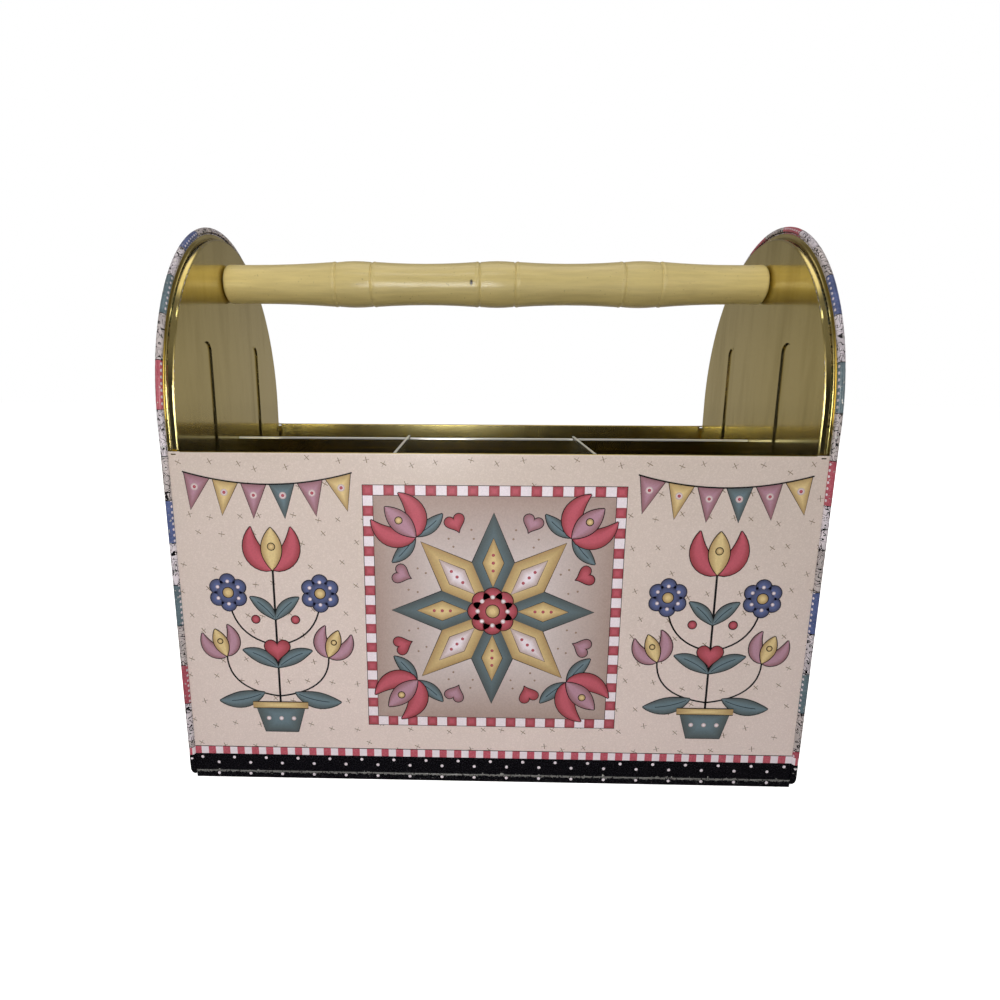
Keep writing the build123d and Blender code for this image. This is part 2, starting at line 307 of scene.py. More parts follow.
def pick(node, share, inks):
    """One of several inks, by a share from 0 to 1."""
    tint = inks[0]
    for i, ink in enumerate(inks[1:], 1):
        over = node("Math", [share, i / len(inks)], operation="GREATER_THAN")
        tint = node("Mix", [over, tint, ink], data_type="RGBA")
    return tint


PATCH_DOT_CELL = (2.4, 1.6)     # spacing of a patch's dots along and across the edge
PATCH_DOT_REACH = 0.24          # radius of such a dot, as a share of its cell
SCROLL_BAND = (0.44, 0.53)      # part of the noise that is drawn as a scroll
GRIME_NOISE = (0.3, 0.7)        # part of the noise that runs from the darkest grime to the lightest
GRIME_SHADES = (0.6, 0.95)


def patched_border(node, place, side, length, inset, ink):
    """Slightly grimy patches of print along an end panel's edge: black scrolls, or white pin dots."""
    number = step_number(node, length, ink.patch_length)
    kinds = [ink.white, ink.red, ink.pale, ink.teal, ink.white, ink.blue, ink.pale]
    shifted = node("Math", [number, side], operation="ADD")
    turn = node("Math", [shifted, len(kinds)], operation="FLOORED_MODULO")
    share = node("Math", [node("Math", [turn, 0.5], operation="ADD"), len(kinds)], operation="DIVIDE")
    base = pick(node, share, kinds)
    dotted = node("Math", [turn, 2.0], operation="FLOORED_MODULO")
    figure = node("Mix", [dotted, ink.black, ink.white], data_type="RGBA")
    scrolls = node("TexNoise", {"Vector": place, "Scale": 0.38, "Detail": 0.0, "Distortion": 1.6})
    scrolls = within(node, scrolls, *SCROLL_BAND)
    _, inside, _ = staggered_cells(node, length, inset, *PATCH_DOT_CELL)
    dots = node("Math", [reach_of(node, inside), PATCH_DOT_REACH], operation="LESS_THAN")
    drawn = node("Mix", [dotted, scrolls, dots], data_type="FLOAT")
    tint = node("Mix", [drawn, base, figure], data_type="RGBA")
    start = node("Math", [length, ink.patch_length], operation="FLOORED_MODULO")
    seam = node("Math", [start, ink.rule_width], operation="LESS_THAN")
    tint = node("Mix", [seam, tint, ink.black], data_type="RGBA")
    grime = node("TexNoise", {"Vector": place, "Scale": 0.15, "Detail": 3.0})
    return shaded(node, tint, node("MapRange", [grime, *GRIME_NOISE, *GRIME_SHADES]))


STAIN_SCALE = (0.09, 0.09, 0.012)   # per millimetre: the stains run upright
PRINT_ROUGHNESS = 0.24
GRAIN_ROUGHNESS = 0.06              # what the fine grain adds to the roughness of print and lacquer
LACQUER_COAT = 0.5
WORN_METAL = -0.5                   # what wear adds to the metallic share


def worn_tin_surface(node, place, mask, tint, finish, wear, dull=0.08, bends=None):
    """End a tin material: varnished print where mask is 1, gold lacquer elsewhere, bare metal where worn; on
    the partition's and the seam's top edges that bare metal is also a painted highlight.

    The print is glossy and a little uneven. The lacquer is a clear coat on metal that mirrors softly,
    with darker upright stains and a fine grain; dull is its roughness. Bends may give softer normals.
    """
    streaks = node("VectorMath", [place, STAIN_SCALE], operation="MULTIPLY")
    stain = node("TexNoise", {"Vector": streaks, "Scale": 1.0, "Detail": 4.0, "Roughness": 0.6})
    stain = node("MapRange", {"Value": stain, "From Min": 0.45, "From Max": 0.75})
    grain = node("TexNoise", {"Vector": place, "Scale": 1.6, "Detail": 2.0})
    fine = node("MapRange", {"Value": grain, "To Min": 0.87, "To Max": 1.13})
    gold = node("Mix", [stain, finish.lacquer, finish.lacquer_stain], data_type="RGBA")
    gold = shaded(node, gold, fine)
    tint = node("Mix", [mask, gold, tint], data_type="RGBA")
    tint = node("Mix", [wear, tint, finish.bare_tin_and_highlight], data_type="RGBA")
    printed = node("Math", [mask, wear], operation="SUBTRACT", use_clamp=True)
    unprinted = node("Math", [1.0, printed], operation="SUBTRACT")
    metal = node("Math", [wear, WORN_METAL, unprinted], operation="MULTIPLY_ADD")
    gloss = node("Mix", [printed, dull, PRINT_ROUGHNESS], data_type="FLOAT")
    gloss = node("Math", [grain, GRAIN_ROUGHNESS, gloss], operation="MULTIPLY_ADD")
    peel = node("TexNoise", {"Vector": place, "Scale": 0.3, "Detail": 2.0})
    bump = node("Bump", {"Strength": 0.02, "Distance": 0.1 * MM, "Height": peel, "Normal": bends})
    coat = node("Math", [unprinted, LACQUER_COAT], operation="MULTIPLY")
    shader = node("BsdfPrincipled", {"Base Color": tint, "Metallic": metal, "Roughness": gloss,
                                     "Normal": bump, "Coat Weight": coat, "Coat Roughness": 0.3})
    node("OutputMaterial", {"Surface": shader})


OUTSIDE_SKIN = 0.2      # depth behind the walls' outermost plane that is still print
SEAM_SKIN = 0.5         # the same for the base pan's seam


def outside_mask(node, y, reach):
    """Mask that is 1 farther than reach from the lengthwise middle plane."""
    return node("Math", [node("Math", [y], operation="ABSOLUTE"), reach], operation="GREATER_THAN")


def worn_spots(node, place, scale, value, span, limits, mask):
    """Spots in a mask where noise passes a limit, which goes from one to another as value crosses a span."""
    chips = node("TexNoise", {"Vector": place, "Scale": scale, "Detail": 3.0})
    limit = node("MapRange", [value, *span, *limits])
    return node("Math", [node("Math", [chips, limit], operation="GREATER_THAN"), mask], operation="MULTIPLY")


def wall_material(ink, finish):
    """Litho-printed tinplate: varnished inks outside, gold lacquer inside and in the hem."""
    material, node = new_material("printed_tinplate_wall")
    place, x, y, z = millimetres(node)
    tint = printed_ground(node, place, x, z, ink)
    outside = outside_mask(node, y, -WALL_LOW.y - OUTSIDE_SKIN)
    wear = worn_spots(node, place, 0.6, z, (3.6, 6.0), (0.64, 0.9), outside)
    worn_tin_surface(node, place, outside, tint, finish, wear, dull=0.2)
    return material


def panel_material(ink, finish):
    """The same printed tinplate pressed into an end panel: the print runs over the rolled edge."""
    material, node = new_material("printed_tinplate_panel")
    place, x, y, z = millimetres(node)
    inset, length = outline_inset(node, y, z)
    field = printed_ground(node, place, y, z, ink)
    side = node("Math", [x], operation="SIGN")
    border = patched_border(node, place, side, length, inset, ink)
    high = node("Math", [z, ink.band_top + ink.check_height], operation="GREATER_THAN")
    edge = node("Math", [inset, ink.border_width], operation="LESS_THAN")
    edge = node("Math", [edge, high], operation="MULTIPLY")
    tint = node("Mix", [edge, field, border], data_type="RGBA")
    outward = node("Math", [facing(node, "X"), side], operation="MULTIPLY")
    outer = node("Math", [outward, SIDE_LIMIT], operation="GREATER_THAN")
    curl = node("Math", [inset, CURL_INSET], operation="LESS_THAN")
    mask = node("Math", [outer, curl], operation="MAXIMUM")
    wear = worn_spots(node, place, 0.7, inset, (0.3, 1.5), (0.66, 0.9), mask)
    rim = node("Math", [inset, STEP_INSET], operation="LESS_THAN")
    normal = node("NewGeometry").node.outputs["Normal"]
    soft = node("Bevel", {"Radius": BEND_RADIUS * MM}, samples=8)
    bends = node("Mix", [rim, normal, soft], data_type="VECTOR")
    worn_tin_surface(node, place, mask, tint, finish, wear, bends=bends)
    return material


SEAM_WEAR_AND_HIGHLIGHT = 0.3         # share of bare tin in the chips along the seam's top edge: wear, and a painted highlight line on its bead


def base_material(ink, finish):
    """Printed seam strip, grey with wear and a painted highlight along its top edge, gold lacquer inside,
    bare tinplate underneath.
    """
    material, node = new_material("printed_tinplate_base")
    place, x, y, z = millimetres(node)
    tint = printed_ground(node, place, x, z, ink)
    outside = outside_mask(node, y, -BASE_LOW.y - SEAM_SKIN)
    under = node("Math", [facing(node, "Z"), -0.5], operation="LESS_THAN")
    # Grey chips along the seam's top: wear, and a painted highlight line on its bead
    highlight_and_wear = worn_spots(node, place, 1.5, z, (2.4, 3.3), (0.7, 0.4), outside)
    highlight_and_wear = node("Math", [highlight_and_wear, SEAM_WEAR_AND_HIGHLIGHT], operation="MULTIPLY")
    wear = node("Math", [highlight_and_wear, under], operation="MAXIMUM")
    worn_tin_surface(node, place, outside, tint, finish, wear)
    return material


HIGHLIGHT_STRIP_HEIGHT = 1.0     # bright bare-tin strip along the partition's top edge: worn tin and a painted highlight of its hem


def partition_material(finish):
    """Tinplate with gold lacquer on both sides, and a bright bare-tin strip along its top edge: worn tin and
    a painted highlight of the hem.
    """
    material, node = new_material("gold_lacquered_tinplate")
    place, _, _, z = millimetres(node)
    # Painted highlight: the strip of bright bare tin along the top edge is both a rubbed hem and the hem's
    # highlight line
    highlight_and_wear = node("Math", [z, PARTITION_TOP - HIGHLIGHT_STRIP_HEIGHT], operation="GREATER_THAN")
    worn_tin_surface(node, place, 0.0, finish.lacquer, finish, highlight_and_wear)
    return material


KNOT = (-10.4, -10.0, 218.2)        # small dark knot on the handle's front
KNOT_STRETCH = (1.0, 0.8, 0.55)     # it is longest upwards
KNOT_EDGE = (0.9, 0.45)             # from where it starts to where it is fully dark
GRIP_REACH = (45.0, 110.0)          # from the duller middle that hands rub to the clean ends
GRIP_SHADES = (0.94, 1.1)
GRAIN_SCALE = (0.05, 0.6, 0.6)      # per millimetre: the grain runs along the handle
GRAIN_DEPTH = 0.55                  # greatest share of the grain's shade
FLECK_LIMIT = 0.72                  # noise above which there is a fleck
FLECK_DEPTH = 0.5


def handle_material(finish):
    """Turned hardwood under pale yellow lacquer: soft rippled gloss, faint long grain, small brown flecks."""
    material, node = new_material("lacquered_beech")
    place, x, _, _ = millimetres(node)
    along = node("VectorMath", [place, GRAIN_SCALE], operation="MULTIPLY")
    grain = node("TexNoise", {"Vector": along, "Scale": 1.0, "Detail": 4.0, "Roughness": 0.6})
    grain = node("MapRange", {"Value": grain, "From Min": 0.35, "From Max": 0.75})
    grain = node("Math", [grain, GRAIN_DEPTH], operation="MULTIPLY")
    tint = node("Mix", [grain, finish.wood, finish.wood_dark], data_type="RGBA")
    reach = node("Math", [x], operation="ABSOLUTE")
    tint = shaded(node, tint, node("MapRange", [reach, *GRIP_REACH, *GRIP_SHADES]))
    flecks = node("TexNoise", {"Vector": place, "Scale": 0.9, "Detail": 2.0})
    flecks = node("Math", [flecks, FLECK_LIMIT], operation="GREATER_THAN")
    flecks = node("Math", [flecks, FLECK_DEPTH], operation="MULTIPLY")
    tint = node("Mix", [flecks, tint, finish.wood_fleck], data_type="RGBA")
    knot = node("VectorMath", [node("VectorMath", [place, KNOT], operation="SUBTRACT"), KNOT_STRETCH],
                operation="MULTIPLY")
    knot = node("MapRange", [reach_of(node, knot), *KNOT_EDGE])
    tint = node("Mix", [knot, tint, finish.knot], data_type="RGBA")
    ripple = node("TexNoise", {"Vector": place, "Scale": 0.9, "Detail": 4.0, "Roughness": 0.75})
    gloss = node("MapRange", {"Value": ripple, "To Min": 0.24, "To Max": 0.42})
    bump = node("Bump", {"Strength": 0.6, "Distance": 0.12 * MM, "Height": ripple})
    shader = node("BsdfPrincipled", {"Base Color": tint, "Roughness": gloss, "Normal": bump,
                                     "Coat Weight": 0.4, "Coat Roughness": 0.12, "Coat Normal": bump})
    node("OutputMaterial", {"Surface": shader})
    return material


SAWN_EDGE = 0.25                        # height of the dividers' pale edge
SAWN_ROUGHNESS = 0.4                    # added to the sheet's roughness at the edge
CLEAR_SHEET = (0.95, 0.95, 0.93, 1.0)   # tint of the clear sheet
POLYSTYRENE_IOR = 1.59


def divider_material(finish):
    """Clear polystyrene sheet: nearly invisible faces, a little scuffed, and a pale dull sawn edge."""
    material, node = new_material("clear_polystyrene")
    place, _, _, z = millimetres(node)
    edge = node("Math", [z, DIVIDER_TOP - SAWN_EDGE], operation="GREATER_THAN")
    scuffs = node("TexNoise", {"Vector": place, "Scale": 0.5, "Detail": 3.0})
    tint = node("Mix", [edge, CLEAR_SHEET, finish.sheet_edge], data_type="RGBA")
    clear = node("Math", [1.0, edge], operation="SUBTRACT")
    gloss = node("MapRange", {"Value": scuffs, "To Min": 0.05, "To Max": 0.2})
    gloss = node("Math", [edge, SAWN_ROUGHNESS, gloss], operation="MULTIPLY_ADD")
    shader = node("BsdfPrincipled", {"Base Color": tint, "Roughness": gloss, "IOR": POLYSTYRENE_IOR,
                                     "Transmission Weight": clear})
    node("OutputMaterial", {"Surface": shader})
    return material


def screw_material(finish):
    """Zinc-plated steel: bright grey metal with a faint turned grain."""
    material, node = new_material("zinc_plated_steel")
    place = millimetres(node)[0]
    grain = node("TexNoise", {"Vector": place, "Scale": 3.0, "Detail": 2.0})
    gloss = node("MapRange", {"Value": grain, "To Min": 0.22, "To Max": 0.4})
    shader = node("BsdfPrincipled", {"Base Color": finish.steel, "Metallic": 1.0, "Roughness": gloss})
    node("OutputMaterial", {"Surface": shader})
    return material


INK_FILM = 0.03         # one printed layer over the next, in millimetres
DARK_LINE = 0.35        # dark line round a printed shape


class Sheet:
    """Flat printed shapes for one face, in millimetres across and up, gathered by layer and ink.

    A shape is its rim, going round to the left, and its middle: no point for a plain patch, one for a
    fan, or as many as the rim has on each side for a blade.
    """

    def __init__(self):
        self.shapes = {}

    def add(self, ink, layer, rim, middle=()):
        """The shape alone."""
        self.shapes.setdefault((layer, ink), []).append((rim, list(middle)))

    def lined(self, ink, layer, rim, middle=(), line=DARK_LINE):
        """The shape with a dark line round it, on the layer below."""
        self.add("black", layer - 1, grown(rim, line))
        self.add(ink, layer, rim, middle)


def grown(rim, margin):
    """A rim moved outwards by a margin."""
    result = []
    for i, here in enumerate(rim):
        along = (rim[(i + 1) % len(rim)] - rim[i - 1]).normalized()
        result.append(here + margin * Vector((along.y, -along.x)))
    return result


def polar(place, reach, degrees):
    """Point at a distance and a direction from another."""
    return place + reach * Vector((cos(radians(degrees)), sin(radians(degrees))))


def rectangle(place, half_width, half_height):
    """Corners of an upright rectangle."""
    corners = ((-1, -1), (1, -1), (1, 1), (-1, 1))
    return [place + Vector((a * half_width, b * half_height)) for a, b in corners]


def disc(place, radius, steps=20):
    """Rim of a round patch and its middle."""
    return [polar(place, radius, 360 * i / steps) for i in range(steps)], [place]


def heart(place, width, degrees=90.0):
    """Rim of a heart whose lobes point in a direction, by the usual heart curve, and its middle."""
    turn = Matrix.Rotation(radians(degrees - 90), 2)
    rim = []
    for i in range(36):
        t = 2 * pi * (0.5 - i / 36)
        lobe = Vector((16 * sin(t) ** 3, 13 * cos(t) - 5 * cos(2 * t) - 2 * cos(3 * t) - cos(4 * t)))
        rim.append(place + turn @ lobe * width / 32)
    return rim, [place]


def curve_points(start, control, end, steps=12):
    """Points on a bend from start to end, pulled towards a control point."""
    ways = [i / steps for i in range(steps + 1)]
    return [start * (1 - t) ** 2 + control * 2 * t * (1 - t) + end * t ** 2 for t in ways]


def strip(points, reaches):
    """Rim along both sides of a bent middle line, at a distance for each of its points."""
    last = len(points) - 1
    right, left = [], []
    for i, (here, reach) in enumerate(zip(points, reaches)):
        along = (points[min(i + 1, last)] - points[max(i - 1, 0)]).normalized()
        side = reach * Vector((along.y, -along.x))
        right.append(here + side)
        left.append(here - side)
    return right + left[::-1], points


BLADE_TIP = 0.08        # half the width that a blade keeps at its ends
BLADE_BELLY = 0.8       # power of the sine that rounds a blade: below 1 is fuller


def blade(points, width, fullest=1.0):
    """Leaf-like rim round a bent middle line, widest half-way, or nearer its start if fullest is under 1."""
    ways = [i / (len(points) - 1) for i in range(len(points))]
    return strip(points, [max(BLADE_TIP, width / 2 * sin(pi * t ** fullest) ** BLADE_BELLY) for t in ways])


def ribbon(points, width):
    """Rim of a line of even width along a bent middle line."""
    return strip(points, [width / 2] * len(points))


# Widths of the drawn lines. In the motifs, a number beside a length, radius, reach or height is its share
FINE_LINE = 0.25
TENDRIL_WIDTH = 0.42
STRING_WIDTH = 0.6
BRANCH_WIDTH = 0.7
STEM_WIDTH = 0.9


def leaf(sheet, start, degrees, length, bend, layer):
    """Pointed teal leaf with a dark vein."""
    tip = polar(start, length, degrees)
    control = (start + tip) / 2 + bend * polar(Vector((0, 0)), length, degrees + 90)
    points = curve_points(start, control, tip)
    sheet.lined("teal", layer, *blade(points, length * 0.36))
    sheet.add("black", layer + 1, *ribbon(points[1:-3], FINE_LINE))


def tulip(sheet, place, degrees, length, layer, outer, inner):
    """Three-petalled folk tulip that opens in a direction."""
    for side in (-1, 1):
        tip = polar(place, length, degrees + side * 24)
        control = polar(place, length * 0.62, degrees + side * 62)
        sheet.lined(outer, layer, *blade(curve_points(place, control, tip), length * 0.4, 0.85))
    tip = polar(place, length * 0.9, degrees)
    sheet.lined(inner, layer + 2, *blade(curve_points(place, (place + tip) / 2, tip), length * 0.42))
    sheet.lined("yellow", layer + 4, *disc(polar(place, length * 0.5, degrees), length * 0.07, 12))


def rosette(sheet, place, radius, petals, layer, ink="red"):
    """Round-petalled flower with a yellow eye and a white dot on each petal."""
    middles = [polar(place, radius * 0.62, 360 * i / petals + 90) for i in range(petals)]
    for middle in middles:
        sheet.lined(ink, layer, *disc(middle, radius * 0.4))
    sheet.add(ink, layer + 1, *disc(place, radius * 0.6))
    for middle in middles:
        sheet.add("white", layer + 2, *disc(middle, radius * 0.1, 10))
    sheet.lined("yellow", layer + 3, *disc(place, radius * 0.27))


def tendril(sheet, place, degrees, radius, hand, layer, steps=26):
    """Thin line that winds into a small curl, in ever shorter and sharper steps."""
    points, here, way = [place], place, degrees
    for i in range(steps):
        here = polar(here, radius * 0.32 * (1 - i / 34), way)
        way += hand * (6 + i * 1.6)
        points.append(here)
    sheet.add("black", layer, *ribbon(points, TENDRIL_WIDTH))


def pennants(sheet, start, end, sag, inks, layer):
    """Pointed pennants on a slack string, one for each ink, in shares of a pennant's width."""
    control = (start + end) / 2 - Vector((0, 2 * sag))
    string = curve_points(start, control, end, 4 * len(inks))
    for i, ink in enumerate(inks):
        left, right = string[4 * i], string[4 * i + 4]
        across = right - left
        down = Vector((across.y, -across.x))
        tip = (left + right) / 2 + down * 1.25
        middle = (left + right) / 2 + down * 0.42
        inset = across * 0.06
        sheet.lined(ink, layer, [left + inset, tip, right - inset], [middle])
        sheet.add("white", layer + 1, *disc(middle, across.length * 0.13, 14))
        sheet.add("red", layer + 2, *disc(middle, across.length * 0.06, 12))
    sheet.add("black", layer + 1, *ribbon(string, STRING_WIDTH))


def bouquet(sheet, foot, height, layer):
    """Pot with a straight stem, side flowers, leaves and tendrils, the same on both sides.

    Its places and sizes are shares of its height.
    """
    def at(across, up):
        return foot + height * Vector((across, up))

    sheet.add("black", layer, *ribbon([at(0, 0.15), at(0, 1)], STEM_WIDTH))
    for side in (-1, 1):
        bud, bloom = at(side * 0.26, 0.42), at(side * 0.23, 0.76)
        for start, end in ((at(0, 0.2), bud), (at(0, 0.48), bloom)):
            bend = Vector((end.x, start.y + (end.y - start.y) * 0.15))
            sheet.add("black", layer, *ribbon(curve_points(start, bend, end), BRANCH_WIDTH))
        outward = 90 - side * 90
        for start, lift, length, bend in ((at(side * 0.08, 0.22), -12, 0.24, -0.14),
                                          (at(0, 0.36), 28, 0.2, 0.14), (at(0, 0.62), 44, 0.17, 0.12)):
            leaf(sheet, start, outward + side * lift, height * length, side * bend, layer + 2)
        tulip(sheet, bud, 90 - side * 20, height * 0.17, layer + 3, "mauve", "yellow")
        rosette(sheet, bloom, height * 0.095, 6, layer + 3, "blue")
        tendril(sheet, at(side * 0.28, 0.42), outward - side * 10, height * 0.028, side, layer + 1)
        sheet.lined("red", layer + 3, *disc(at(side * 0.1, 0.62), height * 0.02, 14))
    tulip(sheet, at(0, 0.88), 90, height * 0.24, layer + 4, "red", "yellow")
    sheet.lined("red", layer + 4, *heart(at(0, 0.46), height * 0.13))
    pot = [at(-0.085, 0), at(0.085, 0), at(0.13, 0.15), at(-0.13, 0.15)]
    sheet.lined("teal", layer + 5, pot, [at(0, 0.08)])
    sheet.lined("yellow", layer + 6, rectangle(at(0, 0.15), height * 0.143, height * 0.016), [at(0, 0.15)])
    for i in (-1, 0, 1):
        sheet.add("white", layer + 6, *disc(at(i * 0.065, 0.075), height * 0.012, 12))


HALF_POINT = 22.5       # half the angle of one of a star's eight points, in degrees


def star(sheet, middle, reach, layer):
    """Eight-pointed star of pieced diamonds, each with a smaller one in it, and a rosette."""
    side = reach / (2 * cos(radians(HALF_POINT)))
    for i in range(8):
        way = 45 * i
        corners = [middle, polar(middle, side, way - HALF_POINT), polar(middle, reach, way),
                   polar(middle, side, way + HALF_POINT)]
        centre = polar(middle, reach / 2, way)
        outer, inner = ("yellow", "white") if i % 2 else ("teal", "yellow")
        sheet.lined(outer, layer + 1, corners, [centre])
        small = [centre + (corner - centre) * 0.5 for corner in corners]
        sheet.lined(inner, layer + 3, small, [centre], FINE_LINE)
        for place in (0.42, 0.5, 0.58):
            sheet.add("red", layer + 4, *disc(polar(middle, reach * place, way), reach * 0.016, 12))
    rosette(sheet, middle, reach * 0.24, 8, layer + 4)


BLOCK_DOT = 0.45        # radius of the dots beside the block's hearts


def quilt_block(sheet, middle, half, squares, layer):
    """Check border round a star, hearts and corner tulips, which are in shares of its inner half."""
    cell = 2 * half / squares
    sheet.lined("white", layer + 1, rectangle(middle, half, half))
    for i in range(squares):
        for j in range(squares):
            if (i + j) % 2 == 0 and (i in (0, squares - 1) or j in (0, squares - 1)):
                corner = middle + Vector(((i + 0.5) * cell - half, (j + 0.5) * cell - half))
                sheet.add("red", layer + 2, rectangle(corner, cell / 2, cell / 2), [corner])
    inner = half - cell
    sheet.lined("pale", layer + 3, rectangle(middle, inner, inner), [middle])
    star(sheet, middle, inner * 0.86, layer + 4)
    for i in range(8):
        way = 45 * i + HALF_POINT
        sheet.lined("mauve" if i % 2 else "red", layer + 5,
                    *heart(polar(middle, inner * 0.84, way), inner * 0.17, way))
        for aside in (-8, 8):
            for far in (0.66, 0.74):
                sheet.add("tan", layer + 4, *disc(polar(middle, inner * far, way + aside), BLOCK_DOT, 8))
    for i in range(4):
        way = 45 + 90 * i
        for side in (-1, 1):
            leaf(sheet, polar(middle, inner * 0.93, way), way + side * 95, inner * 0.3, side * 0.1, layer + 5)
        tulip(sheet, polar(middle, inner * 0.92, way), way, inner * 0.4, layer + 7, "red", "mauve")


def fill(maker, edge, spine):
    """Faces of one shape: a patch, a fan round one middle point, or a blade along its spine."""
    if not spine:
        maker.faces.new(edge)
    elif len(spine) == 1:
        for i, vert in enumerate(edge):
            maker.faces.new((vert, edge[(i + 1) % len(edge)], spine[0]))
    else:
        right, left = edge[:len(spine)], edge[:len(spine) - 1:-1]
        for i in range(len(spine) - 1):
            maker.faces.new((right[i], right[i + 1], spine[i + 1], spine[i]))
            maker.faces.new((spine[i], spine[i + 1], left[i + 1], left[i]))


def printed_film(sheet, face, side, material_of):
    """Build a face's printed shapes as thin films, one mesh for each layer and ink.

    The attribute "shade" is 0 on the rim of a shape that has a middle, and 1 elsewhere.
    """
    origin, across, up, out = face
    for (layer, name), shapes in sorted(sheet.shapes.items()):
        maker = bmesh.new()
        shade = maker.verts.layers.float.new("shade")
        height = out * INK_FILM * (layer + 1)
        for rim, middle in shapes:
            lines = []
            for points, tone in ((rim, 0.0 if middle else 1.0), (middle, 1.0)):
                places = [(origin + across * point.x + up * point.y + height) * MM for point in points]
                verts = [maker.verts.new(place) for place in places]
                for vert in verts:
                    vert[shade] = tone
                lines.append(verts)
            fill(maker, *lines)
        mesh = bpy.data.meshes.new(f"{side}_{name}_{layer}")
        maker.to_mesh(mesh)
        maker.free()
        mesh.materials.append(material_of[name])
        film = add_object(f"{side}_print_{name}_{layer}", mesh)
        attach(film, "box")


RIM_SHADE = (0.6, 0.5, 0.44, 1.0)   # what a printed shape's rim is multiplied by
INK_ROUGHNESS = 0.2
MOTTLE_ROUGHNESS = 0.12     # what the mottle adds to it


def ink_material(name, tone):
    """Litho ink under satin varnish: a little mottled, and shaded darker towards a shape's rim."""
    material, node = new_material("litho_ink_" + name)
    place = millimetres(node)[0]
    shade = node("Attribute", attribute_name="shade").node.outputs["Fac"]
    shade = node("MapRange", {"Value": shade, "From Max": 0.7})
    shade = node("Mix", [shade, RIM_SHADE, WHITE], data_type="RGBA")
    mottle = node("TexNoise", {"Vector": place, "Scale": 1.7, "Detail": 2.0})
    mottle = node("MapRange", {"Value": mottle, "To Min": 0.86, "To Max": 1.14})
    tint = shaded(node, shaded(node, tone, shade), mottle)
    gloss = node("Math", [mottle, MOTTLE_ROUGHNESS, INK_ROUGHNESS], operation="MULTIPLY_ADD")
    node("OutputMaterial", {"Surface": node("BsdfPrincipled", {"Base Color": tint, "Roughness": gloss})})
    return material


FIELD_RECESS = 5.0      # outside of the end panels' field behind their outermost plane
CHECKS_ACROSS = 25      # squares along each side of the star block
SWAG_TOP = 138.0        # strings of the pennants above the ground
SWAG_SAG = 5.0
SWAG_INKS = ("mauve", "yellow", "mauve", "teal", "mauve", "yellow")
BLOCK_MARGIN = 4.0      # from the star block to a string
WALL_MARGIN = 5.0       # from a string to the wall's end
BOUQUET_FOOT = 23.0
BOUQUET_HEIGHT = 84.0
END_BOUQUET_FOOT = 37.0
END_BOUQUET_HEIGHT = 61.0
END_STAR_HEIGHT = 172.0
END_STAR_REACH = 21.0


def wall_print(ink):
    """Design of the front and back walls: a star block between two bouquets under pennants."""
    sheet = Sheet()
    half = ink.block_size / 2
    quilt_block(sheet, Vector((0, ink.block_height)), half, CHECKS_ACROSS, 0)
    inner, outer = half + BLOCK_MARGIN, WALL_HIGH.x - WALL_MARGIN
    for side in (-1, 1):
        bouquet(sheet, Vector((side * (outer + inner) / 2, BOUQUET_FOOT)), BOUQUET_HEIGHT, 0)
        left, right = sorted((side * inner, side * outer))
        pennants(sheet, Vector((left, SWAG_TOP)), Vector((right, SWAG_TOP)), SWAG_SAG, SWAG_INKS, 1)
    return sheet


def end_print():
    """Design of the end panels' fields: a star over a bouquet."""
    sheet = Sheet()
    star(sheet, Vector((0, END_STAR_HEIGHT)), END_STAR_REACH, 1)
    bouquet(sheet, Vector((0, END_BOUQUET_FOOT)), END_BOUQUET_HEIGHT, 0)
    return sheet


class CADDY_OT_design(bpy.types.Operator):
    """Print the folk design on the walls and the end panels"""
    bl_idname = "caddy.design"
    bl_label = "Print the design"

    def execute(self, context):
        ink = context.scene.caddy_print
        names = ("black", "white", "red", "teal", "blue", "mauve", "yellow", "pale", "tan")
        inks = {name: ink_material(name, getattr(ink, name)) for name in names}
        x, y, z = (Vector(axis) for axis in ((1, 0, 0), (0, 1, 0), (0, 0, 1)))
        field = PANEL_HIGH.x - FIELD_RECESS
        design = wall_print(ink)
        printed_film(design, (y * WALL_LOW.y, x, z, -y), "front", inks)
        printed_film(design, (-y * WALL_LOW.y, -x, z, y), "back", inks)
        design = end_print()
        printed_film(design, (x * field, y, z, x), "right", inks)
        printed_film(design, (-x * field, -y, z, -x), "left", inks)
        return {"FINISHED"}


class CADDY_OT_tinplate(bpy.types.Operator):
    """Print and lacquer the tinplate pieces"""
    bl_idname = "caddy.tinplate"
    bl_label = "Finish the tinplate"

    def execute(self, context):
        ink, finish = context.scene.caddy_print, context.scene.caddy_finish
        put_on(wall_material(ink, finish), "front_wall", "back_wall")
        put_on(panel_material(ink, finish), "left_end_panel", "right_end_panel")
        put_on(base_material(ink, finish), "base_pan")
        put_on(partition_material(finish), "centre_partition")
        return {"FINISHED"}


class CADDY_OT_grip(bpy.types.Operator):
    """Lacquer the turned handle and plate its screws"""
    bl_idname = "caddy.grip"
    bl_label = "Finish the handle"

    def execute(self, context):
        finish = context.scene.caddy_finish
        put_on(handle_material(finish), "handle")
        put_on(screw_material(finish), "left_handle_screw", "right_handle_screw")
        return {"FINISHED"}


class CADDY_OT_dividers(bpy.types.Operator):
    """Finish the clear cross dividers"""
    bl_idname = "caddy.dividers"
    bl_label = "Finish the dividers"

    def execute(self, context):
        put_on(divider_material(context.scene.caddy_finish), "left_cross_divider", "right_cross_divider")
        return {"FINISHED"}


